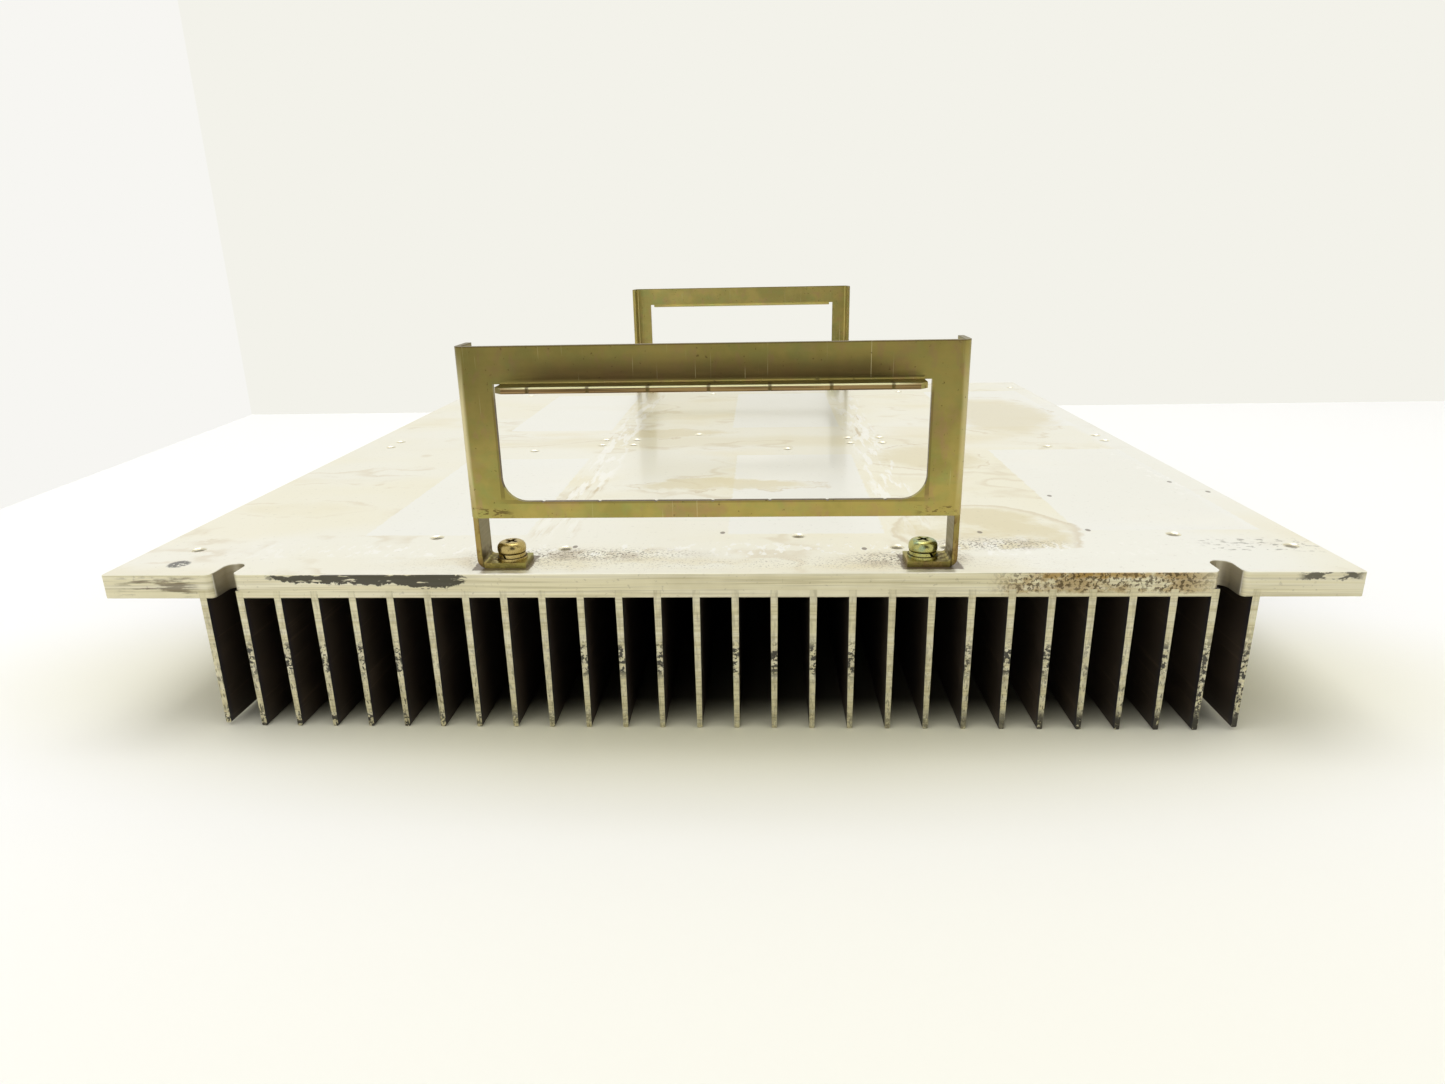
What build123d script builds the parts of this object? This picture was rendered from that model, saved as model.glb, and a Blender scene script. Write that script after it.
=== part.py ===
from build123d import *

import os

os.makedirs("parts", exist_ok=True)

# Frame: the origin is under the middle of the base plate, level with the fin tips.
# X runs across the fins, -Y points out of the front edge, +Z is up.

# Base plate; its width follows from the fins and the overhang beside them.
plate_depth = 348.0
plate_thickness = 7.0
plate_overhang = 26.3
plate_edge_chamfer = 0.2

# Cooling fins, each pressed into a groove in the underside of the plate and thinner at its tip.
fin_count = 28
fin_pitch = 10.5
fin_thickness = 1.9
fin_tip_thickness = 1.45
fin_tip_rounding = 0.3
fin_exposed_height = 39.3
fin_row_shift = 0.3
outer_fin_trim = 0.9
groove_depth = 2.2
groove_side_clearance = 0.02

# Round-ended notches for M5 screws in the front and rear edges, with rounded mouths.
notch_width = 5.8
notch_side_distance = 33.8
notch_centre_depth = 6.3
notch_mouth_radius = 2.0

# Tapped M4 holes: plain walls at the thread's minor diameter.
tap_radius = 1.65
tap_countersink_radius = 2.25
tap_countersink_depth = 0.5
module_hole_floor = 0.4

# Two rows of amplifier modules share the plate: margins to its edges, gaps between
# neighbouring hole patterns, and how far the off-centre pair is set in from them.
module_columns = 3
module_left_margin = 14.5
module_right_margin = 7.5
module_end_margin = 21.75
module_column_gap = 14.0
module_row_gap = 11.5
pair_end_inset = 11.0
pair_side_inset = 27.8

# Handles, folded from one sheet each.
sheet_thickness = 1.5
bend_inner_radius = 1.0
handle_width = 130.0
handle_height = 60.0
handle_setback = 2.0
panel_bottom_height = 15.0
upright_width = 9.5
top_rail_height = 9.5
bottom_rail_height = 4.5
window_corner_radius = 6.3
lip_relief = 2.0
lip_reach = 7.0
lip_corner_chamfer = 2.0
nibble_pitch = 15.0
nibble_radius = 0.7
nibble_depth = 0.2

# M4 fasteners that hold the handles.
screw_radius = 2.0
screw_tip_gap = 0.2
thread_clearance = 0.05
head_radius = 3.9
head_height = 3.1
head_rounding = 2.1
recess_length = 4.3
recess_width = 0.95
recess_depth = 1.9
flat_washer_radius = 4.1
flat_washer_thickness = 0.8
spring_washer_radius = 3.7
spring_washer_thickness = 1.1
spring_washer_gap = 0.7

# Clearances and margins around the fasteners.
foot_hole_clearance = 0.25
washer_bore_clearance = 0.15
shank_step_clearance = 0.1
washer_side_margin = 0.4
washer_end_margin = 0.6
washer_fold_gap = 1.9

# Sizes and places of the plate and fins that follow from the values above.
plate_width = fin_pitch * (fin_count - 1) + fin_thickness + plate_overhang * 2
plate_bottom = fin_exposed_height
plate_top = plate_bottom + plate_thickness
plate_front = -plate_depth / 2
web_thickness = plate_thickness - groove_depth
fin_height = fin_exposed_height + groove_depth
first_fin_x = fin_row_shift - fin_pitch * (fin_count - 1) / 2
notch_x = plate_width / 2 - notch_side_distance
module_room_x = plate_width - module_left_margin - module_right_margin
corner_spacing_x = (module_room_x - module_column_gap * (module_columns - 1)) / module_columns
corner_spacing_y = plate_depth / 2 - module_end_margin - module_row_gap / 2

# Sizes and places of the handles and fasteners that follow from the values above.
bend_outer_radius = bend_inner_radius + sheet_thickness
panel_front = plate_front + handle_setback
leg_front = panel_front + bend_outer_radius
leg_depth = (flat_washer_radius + washer_side_margin) * 2
flange_depth = bend_outer_radius + leg_depth
window_width = handle_width - upright_width * 2
window_bottom_height = panel_bottom_height + bottom_rail_height
window_top_height = handle_height - top_rail_height
lip_width = window_width - lip_relief * 2
screw_x = handle_width / 2 - bend_outer_radius - washer_fold_gap - flat_washer_radius
screw_y = leg_front + leg_depth / 2
foot_end_x = screw_x - flat_washer_radius - washer_end_margin
foot_hole_radius = screw_radius + foot_hole_clearance
washer_bore_radius = screw_radius + washer_bore_clearance
washer_stack = flat_washer_thickness + spring_washer_thickness


def cutting_box(x_range, y_range, z_range):
    """A box between two corners, given as ranges along each axis."""
    size = [high - low for low, high in (x_range, y_range, z_range)]
    middle = [(high + low) / 2 for low, high in (x_range, y_range, z_range)]
    return Pos(*middle) * Box(*size)


def notch_cutter(x):
    """A round-ended notch on the front edge, with both mouth corners rounded."""
    half = notch_width / 2
    reach = half + notch_mouth_radius
    height = plate_thickness * 2
    cutter = cutting_box((-half, half), (-half, notch_centre_depth), (0, height))
    cutter += Pos(0, notch_centre_depth, height / 2) * Cylinder(half, height)
    mouth = cutting_box((-reach, reach), (-half, notch_mouth_radius), (0, height))
    for side in (-1, 1):
        mouth -= Pos(side * reach, notch_mouth_radius, height / 2) * Cylinder(
            notch_mouth_radius, height * 2
        )
    return Pos(x, plate_front, plate_bottom - plate_thickness / 2) * (cutter + mouth)


def module_hole_places():
    """Centres of the tapped holes for two rows of modules; the rear row is turned round."""
    places = []
    row_middle = plate_front + module_end_margin + corner_spacing_y / 2
    pair_x = corner_spacing_x / 2 - pair_side_inset
    pair_y = corner_spacing_y / 2 - pair_end_inset
    for column in range(module_columns):
        left = module_left_margin + column * (corner_spacing_x + module_column_gap)
        x = left + corner_spacing_x / 2 - plate_width / 2
        for turn in (1, -1):
            y = turn * row_middle
            for end in (-1, 1):
                places.append((x - corner_spacing_x / 2, y + end * corner_spacing_y / 2))
                places.append((x + corner_spacing_x / 2, y + end * corner_spacing_y / 2))
                places.append((x + turn * pair_x, y + end * pair_y))
    return places


def handle_hole_places():
    """Centres of the four handle screws."""
    return [(side * screw_x, end * screw_y) for end in (1, -1) for side in (-1, 1)]


def tapped_hole(place, depth):
    """A blind hole from the top face with a small countersink."""
    x, y = place
    wall = Pos(x, y, plate_top - depth / 2) * Cylinder(tap_radius, depth)
    mouth = Pos(x, y, plate_top - tap_countersink_depth / 2) * Cone(
        tap_radius, tap_countersink_radius, tap_countersink_depth
    )
    return wall + mouth


def make_base_plate():
    """The machined plate: grooves below, notches at the ends, tapped holes on top."""
    plate = Box(plate_width, plate_depth, plate_thickness)
    plate = chamfer(plate.edges(), plate_edge_chamfer)
    plate = Pos(0, 0, plate_bottom + plate_thickness / 2) * plate
    half_groove = fin_thickness / 2 + groove_side_clearance
    cutters = []
    for number in range(fin_count):
        x = first_fin_x + number * fin_pitch
        cutters.append(
            cutting_box(
                (x - half_groove, x + half_groove),
                (-plate_depth, plate_depth),
                (plate_bottom - groove_depth, plate_bottom + groove_depth),
            )
        )
    for side in (-1, 1):
        front_notch = notch_cutter(side * notch_x)
        cutters.append(front_notch)
        cutters.append(front_notch.mirror(Plane.XZ))
    module_hole_depth = web_thickness - module_hole_floor
    cutters += [tapped_hole(place, module_hole_depth) for place in module_hole_places()]
    cutters += [tapped_hole(place, web_thickness) for place in handle_hole_places()]
    return plate - cutters


def make_fin(trim):
    """A strip standing in its groove, tapering below the plate; trim shortens it at the tip."""
    root, tip = fin_thickness / 2, fin_tip_thickness / 2
    outline = Polyline(
        (-root, fin_height),
        (-root, fin_exposed_height),
        (-tip, trim),
        (tip, trim),
        (root, fin_exposed_height),
        (root, fin_height),
        close=True,
    )
    fin = extrude(Plane.XZ * make_face(outline), plate_depth / 2, both=True)
    tip_edges = fin.edges().filter_by(Axis.Y).group_by(Axis.Z)[0]
    return fillet(tip_edges, fin_tip_rounding)


def make_folded_channel():
    """The panel and its two side flanges, before any opening is cut."""
    outside = cutting_box(
        (-handle_width / 2, handle_width / 2),
        (panel_front, panel_front + flange_depth * 2),
        (bend_outer_radius, handle_height),
    )
    outside = fillet(outside.edges().filter_by(Axis.Z).group_by(Axis.Y)[0], bend_outer_radius)
    inside = cutting_box(
        (-handle_width / 2 + sheet_thickness, handle_width / 2 - sheet_thickness),
        (panel_front + sheet_thickness, panel_front + flange_depth * 3),
        (0, handle_height * 2),
    )
    inside = fillet(inside.edges().filter_by(Axis.Z).group_by(Axis.Y)[0], bend_inner_radius)
    behind = cutting_box(
        (-handle_width, handle_width),
        (panel_front + flange_depth, panel_front + flange_depth * 3),
        (0, handle_height * 2),
    )
    below_panel = cutting_box(
        (-handle_width, handle_width), (panel_front - 1, leg_front), (0, panel_bottom_height)
    )
    return outside - inside - behind - below_panel


def make_window_cutter():
    """The hand opening: square upper corners, rounded lower ones, relief beside the lip."""
    through = (panel_front - flange_depth, panel_front + flange_depth)
    window = cutting_box(
        (-window_width / 2, window_width / 2),
        through,
        (window_bottom_height, window_top_height),
    )
    lower_edges = window.edges().filter_by(Axis.Y).group_by(Axis.Z)[0]
    window = fillet(lower_edges, window_corner_radius)
    fold = cutting_box(
        (-lip_width / 2, lip_width / 2),
        (panel_front - sheet_thickness, leg_front),
        (window_top_height - sheet_thickness, window_top_height + bend_inner_radius),
    )
    return window + fold


def make_lip():
    """The grip lip, folded forwards out of the window's upper edge."""
    fold_y = panel_front - bend_inner_radius
    fold_z = window_top_height + bend_inner_radius
    front = panel_front - lip_reach
    flat = cutting_box(
        (-lip_width / 2, lip_width / 2),
        (front, fold_y),
        (window_top_height - sheet_thickness, window_top_height),
    )
    free_corners = flat.edges().filter_by(Axis.Z).group_by(Axis.Y)[0]
    flat = chamfer(free_corners, lip_corner_chamfer)
    along_x = Pos(0, fold_y, fold_z) * Rot(0, 90, 0)
    ring = along_x * Cylinder(bend_outer_radius, lip_width)
    ring -= along_x * Cylinder(bend_inner_radius, lip_width * 2)
    quarter = cutting_box(
        (-lip_width / 2, lip_width / 2),
        (fold_y, panel_front + sheet_thickness),
        (fold_z - bend_outer_radius, fold_z),
    )
    return flat + (ring & quarter)


def make_nibble_cutters():
    """Shallow punch marks along the lip's free edge and the window's lower edge."""
    marks = []
    lip_front = panel_front - lip_reach
    sink = nibble_radius - nibble_depth
    steps = int((lip_width / 2 - lip_corner_chamfer) // nibble_pitch)
    for step in range(-steps, steps + 1):
        x = step * nibble_pitch
        mark = Cylinder(nibble_radius, sheet_thickness * 2)
        marks.append(Pos(x, lip_front - sink, window_top_height - sheet_thickness / 2) * mark)
    steps = int((window_width / 2 - window_corner_radius) // nibble_pitch)
    for step in range(-steps, steps + 1):
        x = step * nibble_pitch
        mark = Rot(90, 0, 0) * Cylinder(nibble_radius, sheet_thickness * 2)
        middle = panel_front + sheet_thickness / 2
        marks.append(Pos(x, middle, window_bottom_height + sink) * mark)
    return marks


def make_foot():
    """The right-hand foot: the leg's lower end, folded inwards on to the plate."""
    leg_outside = handle_width / 2
    fold_x = leg_outside - bend_outer_radius
    depths = (leg_front, leg_front + leg_depth)
    flat = cutting_box((foot_end_x, fold_x), depths, (0, sheet_thickness))
    along_y = Pos(fold_x, screw_y, bend_outer_radius) * Rot(90, 0, 0)
    ring = along_y * Cylinder(bend_outer_radius, leg_depth)
    ring -= along_y * Cylinder(bend_inner_radius, leg_depth * 2)
    quarter = cutting_box((fold_x, leg_outside), depths, (0, bend_outer_radius))
    hole = Pos(screw_x, screw_y, 0) * Cylinder(foot_hole_radius, sheet_thickness * 4)
    return flat + (ring & quarter) - hole


def make_handle():
    """The front handle, with its feet on the top of the plate."""
    handle = make_folded_channel() - make_window_cutter() + make_lip()
    handle -= make_nibble_cutters()
    foot = make_foot()
    handle += foot + foot.mirror(Plane.YZ)
    return Pos(0, 0, plate_top) * handle


def make_screw():
    """A pan-head cross-recess screw with its head seated at height zero."""
    head = Pos(0, 0, head_height / 2) * Cylinder(head_radius, head_height)
    top_edge = head.edges().filter_by(GeomType.CIRCLE).group_by(Axis.Z)[-1]
    head = fillet(top_edge, head_rounding)
    recess_z = head_height - recess_depth / 2
    for turn in (0, 90):
        head -= Pos(0, 0, recess_z) * Rot(0, 0, turn) * Box(recess_length, recess_width, recess_depth)
    plain_length = washer_stack + sheet_thickness - shank_step_clearance
    length = washer_stack + sheet_thickness + web_thickness - screw_tip_gap
    plain = Pos(0, 0, -plain_length / 2) * Cylinder(screw_radius, plain_length)
    threaded = Pos(0, 0, -length / 2) * Cylinder(tap_radius - thread_clearance, length)
    return head + plain + threaded


def make_washer(outer_radius, thickness):
    """A plain ring standing on height zero."""
    ring = Cylinder(outer_radius, thickness) - Cylinder(washer_bore_radius, thickness * 2)
    return Pos(0, 0, thickness / 2) * ring


def make_spring_washer():
    """A pressed-flat split ring."""
    gap = Pos(spring_washer_radius, 0, spring_washer_thickness / 2) * Rot(30, 0, 0) * Box(
        spring_washer_radius * 2, spring_washer_gap, spring_washer_thickness * 4
    )
    return make_washer(spring_washer_radius, spring_washer_thickness) - gap


def save(part, name):
    export_step(part, f"parts/{name}.step")


save(make_base_plate(), "base_plate")

inner_fin = make_fin(0)
outer_fin = make_fin(outer_fin_trim)
for number in range(fin_count):
    fin = outer_fin if number in (0, fin_count - 1) else inner_fin
    save(Pos(first_fin_x + number * fin_pitch, 0, 0) * fin, f"fin_{number + 1:02d}")

front_handle = make_handle()
save(front_handle, "front_handle")
save(front_handle.rotate(Axis.Z, 180), "rear_handle")

corner_names = ("front_left", "front_right", "rear_left", "rear_right")
screw_turns = (35, 8, 62, 21)
washer_turns = (250, 300, 40, 110)
flat_washer_bottom = plate_top + sheet_thickness
spring_washer_bottom = flat_washer_bottom + flat_washer_thickness
head_seat = spring_washer_bottom + spring_washer_thickness
for index, (x, y) in enumerate(handle_hole_places()):
    corner = corner_names[index]
    flat_washer = make_washer(flat_washer_radius, flat_washer_thickness)
    save(Pos(x, y, flat_washer_bottom) * flat_washer, f"{corner}_flat_washer")
    turned_spring = Rot(0, 0, washer_turns[index]) * make_spring_washer()
    save(Pos(x, y, spring_washer_bottom) * turned_spring, f"{corner}_spring_washer")
    turned_screw = Rot(0, 0, screw_turns[index]) * make_screw()
    save(Pos(x, y, head_seat) * turned_screw, f"{corner}_screw")
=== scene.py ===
import math

import bpy
from mathutils import Matrix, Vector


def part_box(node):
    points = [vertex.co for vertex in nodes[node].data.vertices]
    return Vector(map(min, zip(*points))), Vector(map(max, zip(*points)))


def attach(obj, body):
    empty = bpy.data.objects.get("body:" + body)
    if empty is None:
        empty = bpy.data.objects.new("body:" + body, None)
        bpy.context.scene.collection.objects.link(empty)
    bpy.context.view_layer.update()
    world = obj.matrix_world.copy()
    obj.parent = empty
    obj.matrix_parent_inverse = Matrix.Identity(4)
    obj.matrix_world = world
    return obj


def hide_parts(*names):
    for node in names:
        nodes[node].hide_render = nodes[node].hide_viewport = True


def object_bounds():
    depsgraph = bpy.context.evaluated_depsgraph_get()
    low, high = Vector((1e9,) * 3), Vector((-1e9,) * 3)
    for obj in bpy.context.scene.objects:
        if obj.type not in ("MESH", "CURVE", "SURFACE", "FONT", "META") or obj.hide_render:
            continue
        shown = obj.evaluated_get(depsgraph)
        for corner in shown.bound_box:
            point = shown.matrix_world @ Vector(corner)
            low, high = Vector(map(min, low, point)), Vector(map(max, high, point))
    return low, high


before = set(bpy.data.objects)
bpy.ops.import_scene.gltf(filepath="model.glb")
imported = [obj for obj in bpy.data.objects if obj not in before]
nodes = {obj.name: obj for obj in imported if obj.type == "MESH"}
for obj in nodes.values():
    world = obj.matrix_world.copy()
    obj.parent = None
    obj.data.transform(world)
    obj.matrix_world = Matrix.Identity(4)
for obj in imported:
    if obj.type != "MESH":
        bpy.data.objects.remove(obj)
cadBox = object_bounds()
print("frame loaded:", len(nodes), "nodes")

plateLow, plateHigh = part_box("base_plate")
toMillimetres = 1000.0
plateTop = plateHigh.z * toMillimetres
plateFloor = plateLow.z * toMillimetres
plateFront = plateLow.y * toMillimetres
plateRear = plateHigh.y * toMillimetres
plateSide = plateHigh.x * toMillimetres


# small helpers
def toLinear(hexColour):  # one sRGB hex colour as linear numbers with alpha
    parts = [int(hexColour[i : i + 2], 16) / 255 for i in (1, 3, 5)]
    return [p / 12.92 if p <= 0.04045 else ((p + 0.055) / 1.055) ** 2.4 for p in parts] + [1.0]


def addNode(tree, kind, inputs=None, **settings):  # one node: its settings, then its values and links
    node = tree.nodes.new(kind)
    for name, value in settings.items():
        setattr(node, name, value)
    for name, value in (inputs or {}).items():
        if isinstance(value, bpy.types.NodeSocket):
            tree.links.new(value, node.inputs[name])
        else:
            node.inputs[name].default_value = value
    return node


def emptyTree(owner):  # the cleared node tree of a material or a world
    owner.use_nodes = True
    owner.node_tree.nodes.clear()
    return owner.node_tree


def inMillimetres(tree):  # the object's own coordinates in millimetres
    where = addNode(tree, "ShaderNodeTexCoord").outputs["Object"]
    return addNode(tree, "ShaderNodeMapping", {"Vector": where, "Scale": (toMillimetres,) * 3}).outputs[0]


def cloud(tree, place, size, low, high, stretch=(1, 1, 1), shift=0.0, detail=4.0):  # patches about size mm across
    moved = {
        "Vector": place,
        "Location": (shift, shift * 0.7, shift * 1.3),
        "Scale": [1 / (size * s) for s in stretch],
    }
    spread = addNode(tree, "ShaderNodeMapping", moved).outputs[0]
    grain = {"Vector": spread, "Scale": 1.0, "Detail": detail, "Roughness": 0.6}
    noise = addNode(tree, "ShaderNodeTexNoise", grain).outputs[0]
    limits = {"Value": noise, "From Min": low, "From Max": high}
    return addNode(tree, "ShaderNodeMapRange", limits, interpolation_type="SMOOTHSTEP").outputs[0]


def ragged(tree, place, size, amount):  # the same place, pushed about so that edges drawn on it are uneven
    spread = addNode(tree, "ShaderNodeMapping", {"Vector": place, "Scale": (1 / size,) * 3}).outputs[0]
    grain = {"Vector": spread, "Scale": 1.0, "Detail": 5.0, "Roughness": 0.65}
    noise = addNode(tree, "ShaderNodeTexNoise", grain).outputs["Color"]
    centred = addNode(tree, "ShaderNodeVectorMath", {0: noise, 1: (0.5, 0.5, 0.5)}, operation="SUBTRACT").outputs[0]
    push = {0: centred, 1: (amount,) * 3, 2: place}
    return addNode(tree, "ShaderNodeVectorMath", push, operation="MULTIPLY_ADD").outputs[0]


def fitted(tree, place, centre, half):  # the place seen from a centre, in units of the half sizes
    moved = {"Vector": place, "Location": centre, "Scale": half}
    return addNode(tree, "ShaderNodeMapping", moved, vector_type="TEXTURE").outputs[0]


def blot(tree, place, centre, half, edge):  # 1 inside an ellipse, 0 outside it; edge is how far it takes to fade
    inputs = {"Vector": fitted(tree, place, centre, half)}
    ball = addNode(tree, "ShaderNodeTexGradient", inputs, gradient_type="SPHERICAL").outputs[1]
    limits = {"Value": ball, "From Max": edge}
    return addNode(tree, "ShaderNodeMapRange", limits, interpolation_type="SMOOTHSTEP").outputs[0]


def block(tree, place, centre, half, edge):  # 1 inside a box, 0 outside it
    inputs = {0: fitted(tree, place, centre, half)}
    size = addNode(tree, "ShaderNodeVectorMath", inputs, operation="ABSOLUTE").outputs[0]
    biggest = joined(tree, "MAXIMUM", addNode(tree, "ShaderNodeSeparateXYZ", {0: size}).outputs)
    limits = {"Value": biggest, "From Min": 1.0, "From Max": 1.0 - edge}
    return addNode(tree, "ShaderNodeMapRange", limits, interpolation_type="SMOOTHSTEP").outputs[0]


def joined(tree, operation, masks):  # numbers taken together one after another by a Math operation
    result = masks[0]
    for mask in masks[1:]:
        result = addNode(tree, "ShaderNodeMath", {0: result, 1: mask}, operation=operation).outputs[0]
    return result


def overlap(tree, masks, names):  # where every mask of "a & no b" is on, or off if "no" stands before it
    parts = []
    for name in names.split(" & "):
        mask = masks[name.removeprefix("no ")]
        parts.append(joined(tree, "SUBTRACT", [1.0, mask]) if name.startswith("no ") else mask)
    return joined(tree, "MULTIPLY", parts)


def drawMasks(tree, finish, places, masks):  # adds a finish's clouds, its shapes and what they make together
    for name, (where, values) in finish["clouds"].items():
        masks[name] = cloud(tree, places[where], **values)
    for name, (where, draw, edge, spots) in finish["shapes"].items():
        parts = [draw(tree, places[where], centre, half, edge) for centre, half in spots]
        masks[name] = joined(tree, "MAXIMUM", parts)
    for name, members in finish["unions"].items():
        masks[name] = joined(tree, "MAXIMUM", [overlap(tree, masks, member) for member in members])
    return masks


def layered(tree, masks, finish, below, layers):  # colours or numbers laid over one another: value, masks, strength
    for value, names, strength in layers:
        amount = joined(tree, "MULTIPLY", [overlap(tree, masks, names), strength])
        if isinstance(value, str):
            kind, inputs, output = "RGBA", {0: amount, 6: below, 7: toLinear(finish[value])}, 2
        else:
            kind, inputs, output = "FLOAT", {0: amount, 2: below, 3: value}, 0
        below = addNode(tree, "ShaderNodeMix", inputs, data_type=kind).outputs[output]
    return below


def finishMaterial(material, masks, finish, colour):  # the shader, with numbers layered as the finish says
    tree = material.node_tree
    relief = {
        "Height": layered(tree, masks, finish, *finish["relief"]),
        "Distance": finish["reliefDepth"] / toMillimetres,
        "Strength": 1.0,
    }
    inputs = {
        "Base Color": colour,
        "Metallic": layered(tree, masks, finish, *finish["metallic"]),
        "Roughness": layered(tree, masks, finish, *finish["roughness"]),
        "Normal": addNode(tree, "ShaderNodeBump", relief).outputs[0],
        **finish["shader"],
    }
    shader = addNode(tree, "ShaderNodeBsdfPrincipled", inputs)
    addNode(tree, "ShaderNodeOutputMaterial", {"Surface": shader.outputs["BSDF"]})


def dress(names, material):  # gives CAD nodes their finish
    for name in names:
        for slot in nodes[name].material_slots:
            slot.material = material


def onPlate(depth, *spots):  # centres and half sizes on the plate's top, from x, y and two half sizes
    return [((x, y, plateTop), (halfX, halfY, depth)) for x, y, halfX, halfY in spots]


def onEdge(depth, *spots):  # the same on its front edge, from x, the distance down and two half sizes
    return [((x, plateFront, plateTop - down), (halfX, depth, halfZ)) for x, down, halfX, halfZ in spots]


# Sawn edge shared by the plate and the fins' cut ends; its lines are 0.3 mm apart on the real
# edge and drawn twice as coarse so that they show.
sawnClouds = {
    "sawLines": ("plain", dict(size=0.6, low=0.44, high=0.64, stretch=(70, 70, 1), detail=3.0)),
    "longTone": ("plain", dict(size=1.3, low=0.40, high=0.66, stretch=(60, 60, 1), shift=2.2, detail=2.0)),
    "handled": ("plain", dict(size=30.0, low=0.45, high=0.70, shift=5.0)),
}
sawnLayers = [("sawLine", "sawLines", 0.55), ("metal", "longTone", 0.30), ("sawLine", "handled", 0.30)]

# spills on the plate's top as x, y and two half sizes, and the edge notches as x and which end
spillSpots = [(80, -36, 24, 26), (0, -78, 38, 9), (132, 60, 30, 60), (-30, 20, 30, 12)]
notchSpots = [(-135.2, -1), (135.2, -1), (-135.2, 1), (135.2, 1)]
plateMiddle = (plateTop + plateFloor) / 2
plateHalf = plateTop / 2 - plateFloor / 2

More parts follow.
